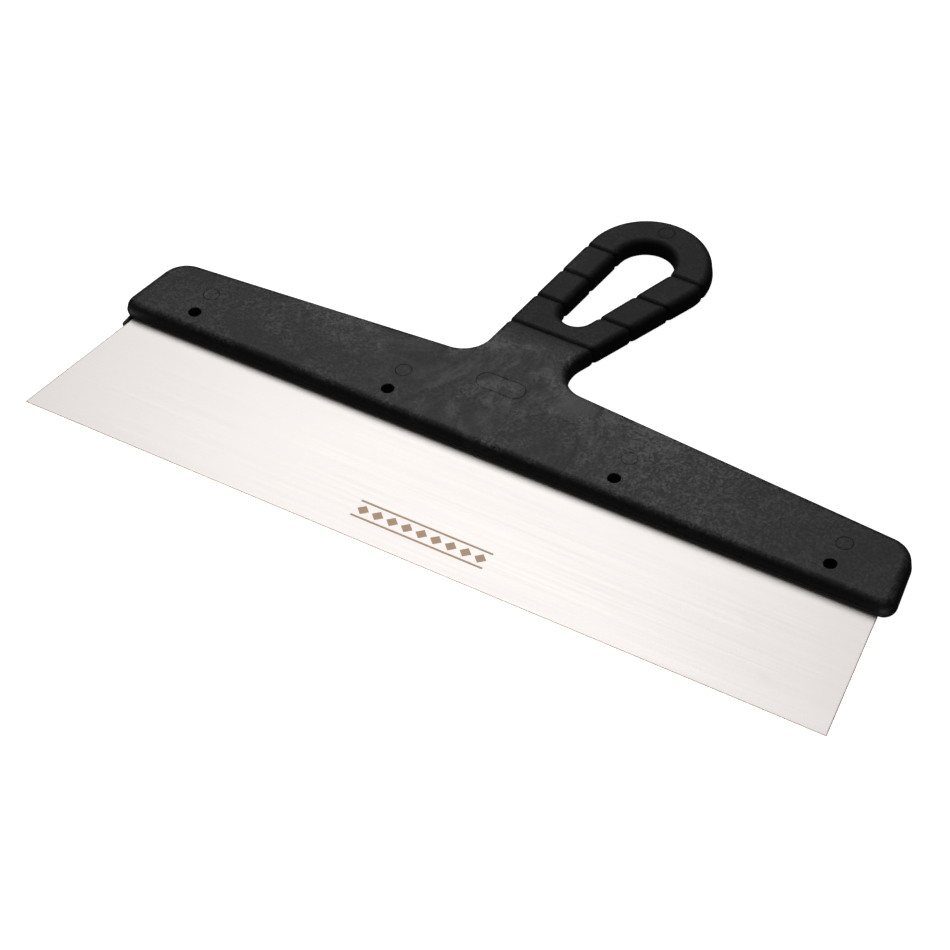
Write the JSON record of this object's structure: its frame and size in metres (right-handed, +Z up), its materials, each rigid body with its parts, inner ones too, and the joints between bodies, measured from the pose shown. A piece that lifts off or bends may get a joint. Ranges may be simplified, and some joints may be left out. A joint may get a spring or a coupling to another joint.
{
  "type": "drywall taping knife",
  "caption": "Wide flat taping knife: a thin stainless blade held along its root in a moulded plastic rail with a neck and a finger-loop handle.",
  "frame": {"origin": "under the middle of the bounding box, on the plane of the handle's flat underside", "axes": "X along the blade's width, -Y towards the blade's tip and +Y to the loop's end, +Z up out of the face with the rounded upper edges"},
  "size_m": [0.3498, 0.2088, 0.0092],
  "materials": {
    "brushed_steel": "fine brushed stainless",
    "matte_plastic": "fine moulded texture with faint flow marks"
  },
  "bodies": {
    "root": {"blade": "brushed_steel", "handle": "matte_plastic"}
  },
  "joints": []
}
